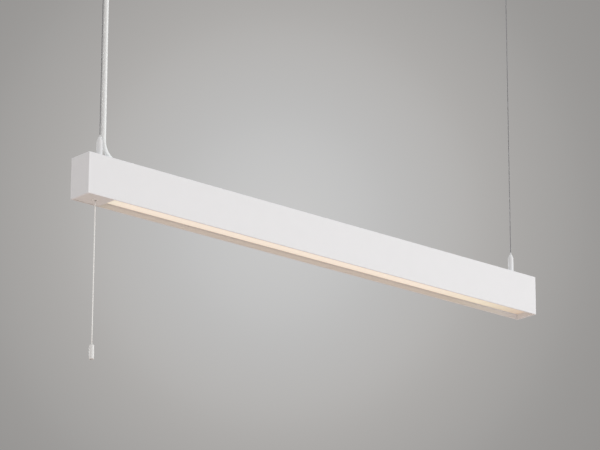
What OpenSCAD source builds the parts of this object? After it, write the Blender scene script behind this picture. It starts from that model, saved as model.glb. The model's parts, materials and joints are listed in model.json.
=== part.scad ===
// Linear pendant light with a pull-cord switch, hung on two steel wires.
// The origin is in the ceiling plane, midway between the two ceiling screws.
// X runs along the lamp, Y across it, Z is up, in millimetres.

/* [Lamp body] */
// Length of the lamp over its end caps
lamp_l = 1080; // [900:10:1500]
// Width of the lamp
lamp_w = 50; // [47:1:60]
// Height of the lamp
lamp_h = 75; // [72:1:95]
// Thickness of the profile's side walls
wall_t = 2; // [1.5:0.1:2.6]
// Thickness of the profile's top wall
top_t = 2.5; // [2:0.1:3.5]
// Thickness of each end cap
cap_t = 4; // [3:0.5:8]
// Radius of the lamp's outer edges
edge_r = 0.8; // [0.3:0.1:1.4]
// Depth of the diffuser above the lower rim
recess = 10; // [8:0.5:13]
// Thickness of the diffuser
diffuser_t = 2; // [1.5:0.1:3]
// Length of the closed section over the switch, from the lamp's end
plate_l = 60; // [58:1:66]
// Depth of the switch plate above the lower rim
plate_recess = 1; // [1:0.1:1.6]
// Thickness of the switch plate
plate_t = 1.5; // [1.2:0.1:2]

/* [Suspension] */
// Height from the ceiling down to the lamp's top
drop = 630; // [580:10:900]
// Distance of each wire from the lamp's end
wire_inset = 41; // [38:1:46]
// Diameter of the steel wires
wire_d = 1.5; // [1:0.1:1.8]
// Diameter of the ball on each wire's upper end
nipple_d = 4; // [3.8:0.1:4.4]
// How far each wire's tail reaches below the lamp's top
wire_tail = 22; // [16:1:26]

/* [Wire gripper] */
// Diameter of the gripper body
gripper_d = 10.5; // [10.2:0.1:12]
// Height of the gripper's straight part
gripper_h = 34.5; // [33:0.5:45]
// Height of the gripper's pointed end, tip included
gripper_tip_h = 11; // [9:0.5:14]
// Press-in travel of the sprung tip
tip_travel = 2; // [1:0.1:2.2]
// Diameter of the gripping balls
ball_d = 2; // [1.8:0.1:2.2]
// Diameter of the threaded stud through the lamp's top
stud_d = 8; // [7.8:0.1:8.2]
// Height of the nut on each stud
nut_h = 6.5; // [4:0.5:8]

/* [Pull switch] */
// Distance of the pull cord from the lamp's left end
pull_inset = 34.5; // [34:0.5:38]
// Diameter of the pull cord
pull_d = 2; // [1.6:0.1:2]
// Visible length of the pull cord above its grip
pull_l = 257; // [240:1:400]
// Travel of the pull switch
pull_travel = 8; // [6:0.5:8]
// Diameter of the grip
grip_d = 8.6; // [7.5:0.1:12]
// Length of the grip
grip_l = 25; // [20:1:40]
// Diameter of the ball on the pull cord's upper end
pull_ball_d = 3.6; // [3.4:0.1:3.7]
// Thickness of the moulded switch walls
switch_wall = 1.6; // [1.2:0.1:1.9]

/* [Power cord] */
// Diameter of the power cord
cord_d = 7.6; // [6:0.1:7.8]
// Diameter of each insulated lead
lead_d = 2.2; // [1.6:0.1:2.4]

/* [Lighting] */
// Pitch of the LED boards
board_pitch = 240; // [220:2:240]
// Width of the LED boards
board_w = 24; // [18:1:26]
// Thickness of the LED boards
board_t = 1.6; // [1:0.2:2]
// LEDs on each board
chips_per_board = 12; // [6:1:16]
// Height of the gear tray above the lower rim
tray_h = 31.2; // [31:0.1:34]
// Length of the LED driver
driver_l = 360; // [200:10:370]
// Width of the LED driver
driver_w = 30; // [22:1:31]
// Height of the LED driver
driver_h = 21; // [18:1:26]

/* [Ceiling fittings] */
// Diameter of the canopy
canopy_d = 80; // [76:1:120]
// Height of the canopy
canopy_h = 30; // [28:1:40]
// Wall thickness of the canopy
canopy_t = 1.5; // [1.2:0.1:2]
// Diameter of the ceiling bases
base_d = 10.4; // [10:0.1:10.6]
// Diameter of the ceiling screw holes
screw_hole_d = 4.5; // [3.5:0.1:5]

/* [Hidden] */
$fn = 48;
eps = 0.01;

// Shared clearances
slide_gap = 0.08;    // radial, round a stem, rod or pin that moves
fit_gap = 0.05;      // radial, between pieces that are fixed in each other
seat_gap = 0.3;      // between neighbours that move apart or are slipped in

// Colours
white = [0.93, 0.93, 0.94];
pale = [0.86, 0.86, 0.87];
opal = [1.0, 0.93, 0.80];
steel = [0.62, 0.63, 0.65];
brass = [0.78, 0.64, 0.34];

// Places along the lamp and up its hanging length
half_l = lamp_l / 2;
wire_x = half_l - wire_inset;
pull_x = -half_l + pull_inset;
z_top = -drop;
z_rim = -drop - lamp_h;
inner_w = lamp_w - 2 * wall_t;
inner_h = lamp_h - top_t;

// Grooves, rails and screw ports inside the profile
ledge_w = 1.5;
rib_t = 1.2;
rail_w = 4;
rail_t = 1.2;
sheet_gap = 0.2;     // beside a sheet that is slid into its groove
tray_t = 1.5;
port_r = 1.6;
port_wall = 1.4;
port_bite = 0.6;     // how far a screw port's ring sinks into the wall
port_slot = 1.2;
port_y = inner_w / 2 - port_r - port_wall + port_bite;
port_low = tray_h - rail_t - port_r - port_wall + 0.2;
port_high = inner_h - port_r - port_wall + port_bite;
peg_l = 9;

// Gripper, heights measured up from the lamp's top
gripper_total = gripper_h + gripper_tip_h;
tip_show = tip_travel + 2;               // how far the sprung tip stands out
neck_top = gripper_total - tip_show;     // top of the body's pointed end
stud_top = 8;
wire_bore_r = wire_d / 2 + 0.25;
rod_r = wire_bore_r + 1;
rod_bore_r = rod_r + slide_gap;
flange_t = 1.4;
flange_u = stud_top + tip_travel + 6;    // underside of the plunger's flange
jaw_low = flange_u + flange_t + 0.1;
ball_u = jaw_low + 6;
jaw_top = ball_u + 5;
cage_top = ball_u + 2;
ball_at = (wire_d + ball_d) / 2 + 0.03;  // a ball's distance from the axis
jaw_slope = 0.0875;                      // taper of the clamping cone
jaw_r = ball_at + ball_d / 2 + 0.04;     // its radius beside the balls
jaw_low_r = jaw_r + (ball_u - jaw_low) * jaw_slope;
jaw_top_r = jaw_r - (jaw_top - ball_u) * jaw_slope;
cage_r = jaw_top_r + 0.05;
flange_r = jaw_low_r - 0.12;
chamber_r = jaw_low_r + 0.25;
catch_wire = 0.5;                        // wire of the gripper's spring
catch_r = chamber_r - catch_wire / 2 - 0.4;
washer_t = 1.6;
stud_low = -top_t - washer_t - nut_h - 2;

// Pull switch, heights measured up from the lower rim
plate_top = plate_recess + plate_t;
flange_wall = 1.2;
stem_r = pull_ball_d / 2 + 1;
stem_bore_r = stem_r + slide_gap;
neck_r = stem_bore_r + 0.82;
collar_r = neck_r + 1.5;
collar_low = 0.1;
ball_h = 3.2;                            // height of the pull cord's ball
stem_low = ball_h - 2;
socket_r = pull_ball_d / 2 + 0.2;
switch_x0 = -17.5;                       // the base's ends, from the pull cord
switch_x1 = 7.5;
switch_y = 10;
switch_h = 25;
floor_top = plate_top + 2;
spring_l = 14;
spring_wire = 0.6;
spring_r = stem_r + spring_wire / 2 + 0.55;
head_low = floor_top + spring_l;
head_top = plate_top + switch_h - switch_wall - seat_gap;
head_x0 = -4.6;
lever_y0 = spring_r + spring_wire / 2 + 0.35;
lever_t = 2.6;
drive_arm = 9.5;                         // from the rocker's pin to the drive pin
drive_r = 1;
drive_h = head_low + 3;
pin_r = 1.2;
pin_h = drive_h - pull_travel / 2;
rocker_angle = atan(pull_travel / 2 / drive_arm);
fork_gap = 0.2;
fork_wall = 1.3;
fork_l = drive_arm / cos(rocker_angle) + drive_r + 0.8;
hub_r = 2.6;
tail_l = 5.2;
tail_half = 1;
boss_r = 2.4;
strip_t = 0.7;
strip_w = 4;
strip_off = 4.2;                         // from the rocker's pin, up and down
contact_h = [pin_h - strip_off - strip_t, pin_h + strip_off];
tab_l = 4;

// Power cord: points from inside its inlet on the lamp's top up into the canopy,
// measured from the left wire on the lamp's top
cord_top = drop - 22;
cord_route = [
    [60, 3, 5], [54, 3, 5], [48, 3, 5], [43, 3, 5], [38, 3, 5.5], [33, 3, 6.8],
    [28, 3, 9], [23.6, 3, 11.9], [19.6, 3, 15.6], [16.3, 3, 19.9], [13.8, 3, 24.8],
    [12.1, 3, 30.2], [11.2, 3, 36.5], [11, 3, 44], [11, 3, 54], [11, 3, 68],
    [11, 3.1, 86], [11, 3.2, 108], [11, 3.4, 132], [11, 3.5, 158], [11, 3.7, 186],
    [11, 3.9, 216], [11, 4, 246], [11, 4, 276], [11, 4, 306], [11, 4, 336],
    [11, 4, 366], [11, 4, 396], [11, 4, 426], [11, 4, 456], [11, 4, 486],
    [11, 4, 516], [11, 4, cord_top]
];
cord_in = cord_route[0];
cord_out = cord_route[len(cord_route) - 1];
cord_mouth = 48;
sleeve_l = 23;                           // from the inlet's mouth to its spigot
inlet_h = 9.9;
inlet_block_r = 7;
spigot_r = 5;
core_bore_r = 3.2;
inlet_x = -wire_x + cord_mouth + sleeve_l;
inlet_nut_h = 5;
spigot_low = -top_t - inlet_nut_h - 2;

// Wires and pull cord: points measured up from the lamp's top and from the ball
wire_route = [
    [0, 0, -wire_tail], [0, 0, 20], [0, 0, 60], [0, 0, 100], [0, 0, 140], [0, 0, 180],
    [0, 0, 220], [0, 0, 260], [0, 0, 300], [0, 0, 340], [0, 0, 380], [0, 0, 420],
    [0, 0, 460], [0, 0, 510], [0, 0, drop - canopy_h - 1.2]
];
knot_r = 2.2;
knot_hole_r = 2.8;
grip_wall = 5;                           // between the grip's top and its knot
pull_end = -pull_l - grip_wall - knot_r - ball_h;
pull_route = [
    [0, 0, -pull_ball_d / 2 - 0.05], [0, 0, -18], [0, 0, -36], [0, 0, -54],
    [0, 0, -72], [0, 0, -90], [0, 0, -108], [0, 0, -126], [0, 0, -144],
    [0, 0, -162], [0, 0, -180], [0, 0, -198], [0, 0, -216], [0, 0, -234],
    [0, 0, pull_end]
];

// Lighting gear
led_x0 = -half_l + plate_l + 6;
board_gap = 2;
board_z = tray_h - board_t;
tray_x0 = -half_l + plate_l - 2;
tray_x1 = half_l - cap_t - 12;
board_n = floor((tray_x1 - led_x0) / board_pitch);
chip_w = 2.8;
chip_t = 0.7;
plug_l = 9;
plug_w = 6;
plug_t = 3.4;
block_way = 124;                         // from the left wire to the terminal block
block_x = -wire_x + block_way;
block_l = 26;
block_w = 22;
block_h = 13;
gear_h = tray_h + tray_t;
driver_way = 19;                         // from the terminal block to the driver
driver_x0 = block_x + block_l + driver_way;
lead_run = 20;                           // straight run of a lead up to the block
driver_x1 = driver_x0 + driver_l;
foot_l = 10;
foot_t = 3;
screw_r = 1.6;
driver_screw_x = [driver_x0 + foot_l / 2, driver_x1 - foot_l / 2];
feed_x = driver_x1 + 5;                  // where the leads pass through the tray
feed_y = 14;
feed_run = 14;                           // run of those leads along the board they feed
plug_edge = 3;                           // least distance of a connector from its board's ends
plug_place = feed_x - feed_run - plug_l - led_x0;
fed_board = floor(plug_place / board_pitch);
// Each board has its connector at the same place, where the driver's leads reach it
plug_x = max(plug_edge, min(board_pitch - board_gap - plug_edge - plug_l,
    plug_place - fed_board * board_pitch));

// Ceiling fittings, measured down from the ceiling
bar_t = 1.5;
bar_w = 18;
bar_l = canopy_d - 14;
base_r = base_d / 2;
thread_r = 4;
disc_r = 9;
disc_t = 2;
base_top_t = 3;
cap_head = 8;
cap_spigot = 12;
cap_low = -canopy_h - cap_head;
nipple_z = -canopy_h - 3;
cap_bore_r = nipple_d / 2 + 0.15;
cap_neck_r = wire_d / 2 + 0.65;
cap_flare_r = wire_d / 2 + 1.2;
bush_bore_r = cord_d / 2 + 1.1;
bush_neck_r = bush_bore_r + 0.7;
bush_flange_t = 1.2;
cord_x = -wire_x + cord_out[0];
cord_y = cord_out[1];

// ---------- helpers ----------

// Extrudes a flat section (across, up) along X from x0 over length l
module along_x(x0, l) {
    translate([x0, 0, 0]) rotate([90, 0, 90]) linear_extrude(l) children();
}

// Places something by its height above the lamp's top
module on_top(x, y = 0, u = 0) {
    translate([x, y, z_top + u]) children();
}

// Places something by its height above the lower rim
module on_rim(x = 0, y = 0, h = 0) {
    translate([x, y, z_rim + h]) children();
}

// A cylinder along Y from y0 to y1
module y_cylinder(r, y0, y1) {
    translate([0, y1, 0]) rotate([90, 0, 0]) cylinder(r = r, h = y1 - y0);
}

// A rectangle with round corners, centred across and standing on its base
module round_section(w, h, r) {
    translate([-w / 2 + r, 0]) square([w - 2 * r, h]);
    translate([-w / 2, r]) square([w, h - 2 * r]);
    for (x = [-w / 2 + r, w / 2 - r])
        for (y = [r, h - r])
            translate([x, y]) circle(r = r);
}

function unit(v) = v / norm(v);
function tangent(p, i) = unit(p[min(i + 1, len(p) - 1)] - p[max(i - 1, 0)]);

// One unbroken tube along the points p; ref is never parallel to the route
module tube_along(p, r, sides = 8, ref = [0, 1, 0]) {
    n = len(p);
    points = [
        for (i = [0 : n - 1])
            let (t = tangent(p, i), a = unit(cross(ref, t)), b = cross(t, a))
                for (k = [0 : sides - 1])
                    p[i] + r * (cos(360 * k / sides) * a + sin(360 * k / sides) * b)
    ];
    side_faces = [
        for (i = [0 : n - 2])
            for (k = [0 : sides - 1])
                let (m = (k + 1) % sides, q = i * sides)
                    each [[q + k, q + sides + k, q + m], [q + m, q + sides + k, q + sides + m]]
    ];
    first_face = [for (k = [0 : sides - 1]) k];
    last_face = [for (k = [sides - 1 : -1 : 0]) (n - 1) * sides + k];
    polyhedron(points, concat([first_face, last_face], side_faces), convexity = 6);
}

// Points of a coil spring of wire w from height z0 to z1
function coil(turns, r, w, z0, z1, steps = 8) =
    let (low = z0 + w / 2 + 0.05, high = z1 - w / 2 - 0.05)
        [for (i = [0 : turns * steps])
            [r * cos(360 * i / steps), r * sin(360 * i / steps), low + (high - low) * i / (turns * steps)]];

// Offsets of three leads that lie against each other
function three_leads(k) = 0.64 * lead_d * [cos(90 + 120 * k), sin(90 + 120 * k)];

// ---------- lamp body ----------

// A rib on the inside of one side wall, side being -1 or 1
module wall_rib(side, low, t, w) {
    translate([side > 0 ? inner_w / 2 - w : -inner_w / 2 - wall_t / 2, low])
        square([w + wall_t / 2, t]);
}

// The extruded section: an inverted channel with grooves, rails and screw ports
module housing_section() {
    difference() {
        union() {
            difference() {
                round_section(lamp_w, lamp_h, edge_r);
                translate([-inner_w / 2, -1]) square([inner_w, inner_h + 1]);
            }
            for (side = [-1, 1]) {
                wall_rib(side, recess - rib_t, rib_t, ledge_w);
                wall_rib(side, recess + diffuser_t + seat_gap, rib_t, ledge_w);
                wall_rib(side, tray_h - rail_t, rail_t, rail_w);
                wall_rib(side, gear_h + seat_gap, rail_t, rail_w);
                for (h = [port_low, port_high])
                    translate([side * port_y, h]) circle(r = port_r + port_wall);
            }
        }
        for (side = [-1, 1])
            for (h = [port_low, port_high]) {
                translate([side * port_y, h]) circle(r = port_r);
                translate([side * (port_y - 2), h]) square([4, port_slot], center = true);
            }
    }
}

module housing() color(white) difference() {
    on_rim() along_x(-half_l + cap_t, lamp_l - 2 * cap_t) housing_section();
    for (x = [-wire_x, wire_x])
        on_top(x, 0, -top_t - 1) cylinder(r = stud_d / 2 + seat_gap, h = top_t + 2);
    on_top(inlet_x, cord_in[1], -top_t - 1) cylinder(r = spigot_r + 0.1, h = top_t + 2);
}

// A flush end cap: a plate with round outer edges and pegs for the screw ports
module end_cap() {
    intersection() {
        along_x(-cap_t, cap_t) round_section(lamp_w, lamp_h, edge_r);
        translate([0, lamp_w / 2, 0]) rotate([90, 0, 0]) linear_extrude(lamp_w) {
            translate([-cap_t, edge_r]) square([cap_t, lamp_h - 2 * edge_r]);
            translate([-cap_t + edge_r, 0]) square([cap_t - edge_r, lamp_h]);
            for (h = [edge_r, lamp_h - edge_r])
                translate([-cap_t + edge_r, h]) circle(r = edge_r);
        }
        linear_extrude(lamp_h) {
            translate([-cap_t, -lamp_w / 2 + edge_r]) square([cap_t, lamp_w - 2 * edge_r]);
            translate([-cap_t + edge_r, -lamp_w / 2]) square([cap_t - edge_r, lamp_w]);
            for (y = [-lamp_w / 2 + edge_r, lamp_w / 2 - edge_r])
                translate([-cap_t + edge_r, y]) circle(r = edge_r);
        }
    }
    for (y = [-port_y, port_y])
        for (h = [port_low, port_high])
            translate([-eps, y, h]) rotate([0, 90, 0]) cylinder(r = port_r - fit_gap, h = peg_l);
}

module end_cap_left() color(white) on_rim(-half_l + cap_t) end_cap();

module end_cap_right() color(white) on_rim(half_l - cap_t) mirror([1, 0, 0]) end_cap();

// The opal strip lies in the lower grooves, stiffened by two legs
module diffuser() color(opal)
    on_rim() along_x(-half_l + plate_l + seat_gap, lamp_l - plate_l - cap_t - 2 * seat_gap) {
        translate([-inner_w / 2 + sheet_gap, recess]) square([inner_w - 2 * sheet_gap, diffuser_t]);
        for (side = [-1, 1])
            translate([side * (inner_w / 2 - ledge_w - 2.2) - 0.6, recess]) square([1.2, 6]);
    }

// The closed underside at the left end, folded and hooked over the lower ledges,
// with an upright end that closes the light's space off from the switch
module switch_plate() color(white) difference() {
    hook_y = inner_w / 2 - ledge_w - sheet_gap;
    union() {
        on_rim() along_x(-half_l + cap_t, plate_l - cap_t) {
            translate([-inner_w / 2 + sheet_gap, plate_recess])
                square([inner_w - 2 * sheet_gap, plate_t]);
            for (side = [-1, 1]) {
                translate([side * (hook_y - flange_wall / 2) - flange_wall / 2, plate_recess])
                    square([flange_wall, recess + rib_t - plate_recess]);
                translate([side * (hook_y - 0.1) - 1.1, recess]) square([2.2, rib_t]);
            }
        }
        on_rim(-half_l + plate_l - plate_t, -15, plate_recess)
            cube([plate_t, 30, tray_h - plate_recess - seat_gap]);
    }
    on_rim(pull_x) cylinder(r = neck_r + fit_gap, h = plate_top + 1);
}

// ---------- lighting gear ----------

module gear_tray() color(pale) on_rim(0, 0, tray_h) difference() {
    lip_y = inner_w / 2 - rail_w - 1.2;
    union() {
        translate([tray_x0, -inner_w / 2 + sheet_gap, 0])
            cube([tray_x1 - tray_x0, inner_w - 2 * sheet_gap, tray_t]);
        for (side = [-1, 1])
            translate([tray_x0, side * lip_y - 0.6, 0]) cube([tray_x1 - tray_x0, 1.2, 5]);
    }
    // Slot for the leads to the boards
    translate([feed_x, feed_y, -1]) linear_extrude(tray_t + 2) {
        translate([-3, -2]) square([6, 4]);
        for (x = [-3, 3]) translate([x, 0]) circle(r = 2);
    }
    // Holes for the driver's screws
    for (x = driver_screw_x)
        translate([x, 0, -1]) cylinder(r = screw_r + 0.1, h = tray_t + 2);
}

module led_boards() color("ghostwhite")
    for (k = [0 : board_n - 1])
        on_rim(led_x0 + k * board_pitch, -board_w / 2, board_z)
            cube([board_pitch - board_gap, board_w, board_t]);

module led_chips() color("khaki") {
    chip_pitch = (board_pitch - board_gap) / chips_per_board;
    for (k = [0 : board_n - 1])
        for (i = [0 : chips_per_board - 1])
            on_rim(led_x0 + k * board_pitch + (i + 0.5) * chip_pitch, 0, board_z - chip_t)
                translate([-chip_w / 2, -chip_w / 2, 0]) cube([chip_w, chip_w, chip_t]);
}

module board_connectors() color("white")
    for (k = [0 : board_n - 1])
        on_rim(led_x0 + k * board_pitch + plug_x, board_w / 2 - 1 - plug_w, board_z - plug_t)
            cube([plug_l, plug_w, plug_t]);

// The driver's case, with a screwed foot at each end
module led_driver() color("gainsboro") on_rim(0, 0, gear_h) difference() {
    along_x(driver_x0, driver_l) round_section(driver_w, driver_h, 1.5);
    for (x = [driver_x0 - 1, driver_x1 - foot_l])
        translate([x, -driver_w, foot_t]) cube([foot_l + 1, 2 * driver_w, driver_h]);
    for (x = driver_screw_x)
        translate([x, 0, -1]) cylinder(r = screw_r + 0.1, h = foot_t + 2);
}

module driver_screws() color(steel)
    for (x = driver_screw_x)
        on_rim(x, 0, gear_h + foot_t) {
            cylinder(r = 3.2, h = 2.2);
            translate([0, 0, -foot_t - tray_t + 0.2]) cylinder(r = screw_r, h = foot_t + tray_t);
        }

module terminal_block() color("white") on_rim(block_x, 0, gear_h) difference() {
    translate([0, -block_w / 2, 0]) cube([block_l, block_w, block_h]);
    for (k = [-1 : 1])
        translate([block_l / 2, k * 7, block_h - 4]) cylinder(r = 1.8, h = 5);
}

// Three cores from the cord's end through the inlet to the terminal block
module mains_leads() color("sienna")
    for (k = [0 : 2])
        let (y = cord_in[1] + three_leads(k)[0], b = three_leads(k)[1], way = [0, -1, 1][k])
            tube_along([
                [-wire_x + cord_in[0] + 0.1, y, z_top + cord_in[2] + b],
                [inlet_x - 3, y, z_top + cord_in[2] + b],
                [inlet_x - 3 + (3 + b) * 0.7, y, z_top + cord_in[2] - 3 + (3 + b) * 0.7],
                [inlet_x + b, y, z_top + cord_in[2] - 3],
                [inlet_x + b, y, z_top + spigot_low],
                [inlet_x + b + 2, y + way, z_top + spigot_low - 6],
                [inlet_x + 14, 4 * way, z_rim + gear_h + block_h + 6],
                [block_x - 12, 7 * way, z_rim + gear_h + 9.6],
                [block_x - lead_d, 7 * way, z_rim + gear_h + 9],
                [block_x - fit_gap, 7 * way, z_rim + gear_h + 9]
            ], lead_d / 2);

// Two cores from the switch's terminals over the tray to the terminal block
module switch_leads() color("dimgray") on_rim() {
    tab_x = pull_x + switch_x0 - tab_l;
    tab_y = lever_y0 + strip_w / 2;
    low = pin_h - strip_off - strip_t / 2;
    high = pin_h + strip_off + strip_t / 2;
    tube_along([
        [tab_x - fit_gap, tab_y, high], [tab_x - 1.5, tab_y, high], [tab_x - 3, tab_y, high + 1],
        [tab_x - 3.6, tab_y, high + 4], [tab_x - 1.5, tab_y, plate_top + switch_h + 4],
        [tab_x + 4, tab_y, gear_h + 4], [pull_x, 5, gear_h + 5], [tray_x0 + 10, 4, gear_h + 4],
        [block_x - lead_run, 3.5, gear_h + 3], [block_x - lead_d, 3.5, gear_h + 3],
        [block_x - fit_gap, 3.5, gear_h + 3]
    ], lead_d / 2);
    tube_along([
        [tab_x - fit_gap, tab_y, low], [tab_x - 1.5, tab_y, low], [tab_x - 3.6, tab_y - 1, low + 1],
        [tab_x - 5, tab_y - 3, low + 5], [tab_x - 5.4, 1, high], [tab_x - 5, 0, high + 6],
        [tab_x - 1, -2, gear_h + 3], [pull_x, -3.5, gear_h + 4.5], [tray_x0 + 10, -4, gear_h + 4],
        [block_x - lead_run, -3.5, gear_h + 3], [block_x - lead_d, -3.5, gear_h + 3],
        [block_x - fit_gap, -3.5, gear_h + 3]
    ], lead_d / 2);
}

// Two cores from the terminal block to the driver
module driver_leads() color("steelblue") on_rim()
    for (k = [-1, 1])
        tube_along([
            [block_x + block_l + fit_gap, 6 * k, gear_h + 8], [block_x + block_l + lead_d, 6 * k, gear_h + 8],
            [block_x + block_l + 9, 6 * k, gear_h + 9.5], [driver_x0 + 2, 6 * k, gear_h + 10],
            [driver_x0 + foot_l - fit_gap, 6 * k, gear_h + 10]
        ], lead_d / 2);

// Two cores from the driver through the tray to a board's connector
module led_leads() color("firebrick") on_rim() {
    plug_x1 = led_x0 + fed_board * board_pitch + plug_x + plug_l;
    plug_y = board_w / 2 - 1 - plug_w / 2;
    r = lead_d / 2 - 0.15;
    tube_along([
        [driver_x1 - foot_l + fit_gap, 8, gear_h + 10], [driver_x1 - foot_l + lead_d, 8, gear_h + 10],
        [driver_x1, 8.6, gear_h + 10],
        [feed_x + 1.4, feed_y - 2, gear_h + 7], [feed_x + 1.4, feed_y, gear_h + 2],
        [feed_x + 1.4, feed_y, tray_h - 1], [feed_x - 0.5, feed_y - 0.5, board_z - 3.2],
        [feed_x - 5, feed_y - 2.5, board_z - 4.1], [plug_x1 + 6, plug_y, board_z - 3],
        [plug_x1 + lead_d, plug_y - 1.1, board_z - 1.7], [plug_x1 + fit_gap, plug_y - 1.1, board_z - 1.7]
    ], r, 8, [0.31, 0.24, 0.92]);
    tube_along([
        [driver_x1 - foot_l + fit_gap, 10.8, gear_h + 10],
        [driver_x1 - foot_l + lead_d, 10.8, gear_h + 10], [driver_x1 - 2, 12, gear_h + 9.5],
        [feed_x - 1.4, feed_y, gear_h + 6], [feed_x - 1.4, feed_y, gear_h + 2],
        [feed_x - 1.4, feed_y, tray_h - 1], [feed_x - 4, feed_y - 0.6, board_z - 1.4],
        [plug_x1 + 8, plug_y + 3, board_z - 1.7],
        [plug_x1 + lead_d, plug_y + 1.1, board_z - 1.7], [plug_x1 + fit_gap, plug_y + 1.1, board_z - 1.7]
    ], r, 8, [0.31, 0.24, 0.92]);
}

// ---------- power cord ----------

// A low elbow: a tapering sleeve round the cord, a block, and a threaded spigot
module cord_inlet() color(pale) on_top(inlet_x, cord_in[1]) difference() {
    axis_h = cord_in[2];
    union() {
        intersection() {
            translate([-sleeve_l, 0, axis_h]) rotate([0, 90, 0])
                cylinder(r1 = cord_d / 2 + 0.75, r2 = inlet_h - axis_h, h = sleeve_l);
            translate([-sleeve_l - 1, -inlet_h, 0]) cube([sleeve_l + 1, 2 * inlet_h, inlet_h]);
        }
        cylinder(r = inlet_block_r, h = inlet_h - 1);
        translate([0, 0, inlet_h - 1 - eps])
            cylinder(r1 = inlet_block_r, r2 = inlet_block_r - 1, h = 1 + eps);
        translate([0, 0, spigot_low]) cylinder(r = spigot_r, h = eps - spigot_low);
    }
    // Seat of the cord, then the way of its cores down through the spigot
    translate([-sleeve_l - 1, 0, axis_h]) rotate([0, 90, 0])
        cylinder(r = cord_d / 2 + fit_gap, h = 1 + cord_in[0] - cord_mouth + 0.1);
    translate([-sleeve_l, 0, axis_h]) rotate([0, 90, 0]) cylinder(r = core_bore_r, h = sleeve_l);
    translate([0, 0, axis_h]) sphere(r = core_bore_r);
    translate([0, 0, spigot_low - 1]) cylinder(r = core_bore_r, h = axis_h - spigot_low + 1);
}

module inlet_nut() color(pale) on_top(inlet_x, cord_in[1], -top_t - inlet_nut_h) difference() {
    cylinder(r = 8.5 / cos(30), h = inlet_nut_h, $fn = 6);
    translate([0, 0, -1]) cylinder(r = spigot_r + fit_gap, h = inlet_nut_h + 2);
}

module power_cord() color("white") on_top(-wire_x) tube_along(cord_route, cord_d / 2, 10);

// ---------- pull switch ----------

// A moulded box on the plate, open at one side, with a threaded neck through the plate
module switch_base() color("gainsboro") on_rim(pull_x) difference() {
    union() {
        difference() {
            translate([switch_x0, -switch_y, plate_top])
                cube([switch_x1 - switch_x0, 2 * switch_y - switch_wall, switch_h]);
            translate([switch_x0 + switch_wall, -switch_y + switch_wall, floor_top])
                cube([switch_x1 - switch_x0 - 2 * switch_wall, 2 * switch_y,
                      plate_top + switch_h - switch_wall - floor_top]);
        }
        translate([0, 0, collar_low]) cylinder(r = neck_r, h = floor_top - collar_low);
        // Boss that carries the rocker on its pin
        translate([-drive_arm, 0, pin_h]) y_cylinder(boss_r, -switch_y + switch_wall - eps, lever_y0 - 0.2);
    }
    translate([0, 0, -1]) cylinder(r = stem_bore_r, h = floor_top + 2);
    translate([-drive_arm, 0, pin_h]) y_cylinder(pin_r + fit_gap, -switch_y - 1, switch_y);
    for (h = contact_h)
        translate([switch_x0 - 1, lever_y0 - 0.1, h - 0.1])
            cube([switch_wall + 2, strip_w + 0.2, strip_t + 0.2]);
}

module switch_cover() color("gainsboro") on_rim(pull_x) difference() {
    union() {
        translate([switch_x0, switch_y - switch_wall, plate_top])
            cube([switch_x1 - switch_x0, switch_wall, switch_h]);
        translate([-drive_arm, 0, pin_h])
            y_cylinder(boss_r, lever_y0 + lever_t + 0.2, switch_y - switch_wall + eps);
    }
    translate([-drive_arm, 0, pin_h]) y_cylinder(pin_r + fit_gap, 0, switch_y + 1);
}

// The nut round the switch's neck, inside the plate's recess
module cord_collar() color(white) on_rim(pull_x, 0, collar_low) rotate_extrude()
    polygon([
        [neck_r + fit_gap, 0], [collar_r - 0.4, 0], [collar_r, 0.4],
        [collar_r, plate_recess - collar_low], [neck_r + fit_gap, plate_recess - collar_low]
    ]);

// Hollow stem with the seat of the pull cord's ball, crosshead and drive pin
module pull_slider() color("gold") on_rim(pull_x) difference() {
    head_y0 = -switch_y + switch_wall + seat_gap;
    head_y1 = lever_y0 - 0.4;
    head_x1 = switch_x1 - switch_wall - seat_gap;
    union() {
        translate([0, 0, stem_low]) cylinder(r = stem_r, h = head_low - stem_low + eps);
        translate([head_x0, head_y0, head_low])
            cube([head_x1 - head_x0, head_y1 - head_y0, head_top - head_low]);
        translate([0, 0, drive_h]) y_cylinder(drive_r, head_y1 - eps, lever_y0 + lever_t + 0.3);
    }
    rotate_extrude() polygon([
        [0, stem_low - 1], [pull_ball_d / 2, stem_low - 1], [pull_ball_d / 2 - 0.05, stem_low],
        [pull_ball_d / 2 - 0.35, ball_h - 1.25], [socket_r, ball_h],
        [socket_r, head_top + 1], [0, head_top + 1]
    ]);
}

module return_spring() color(steel) on_rim(pull_x)
    tube_along(coil(5, spring_r, spring_wire, floor_top, head_low), spring_wire / 2, 6, [0, 0, 1]);

// A lever on the pin: its fork holds the drive pin, its tail swings between the contacts
module contact_rocker() color("white") on_rim(pull_x - drive_arm, 0, pin_h)
    rotate([0, -rocker_angle, 0]) difference() {
        fork_half = drive_r + fork_gap + fork_wall;
        union() {
            y_cylinder(hub_r, lever_y0, lever_y0 + lever_t);
            translate([0, lever_y0, -fork_half]) cube([fork_l, lever_t, 2 * fork_half]);
            translate([-tail_l, lever_y0, -tail_half]) cube([tail_l, lever_t, 2 * tail_half]);
        }
        y_cylinder(pin_r + slide_gap, lever_y0 - 1, lever_y0 + lever_t + 1);
        translate([drive_arm - drive_r - 0.6, lever_y0 - 1, -drive_r - fork_gap])
            cube([fork_l, lever_t + 2, 2 * (drive_r + fork_gap)]);
    }

module rocker_pin() color(steel)
    on_rim(pull_x - drive_arm, 0, pin_h) y_cylinder(pin_r, -switch_y, switch_y);

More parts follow.
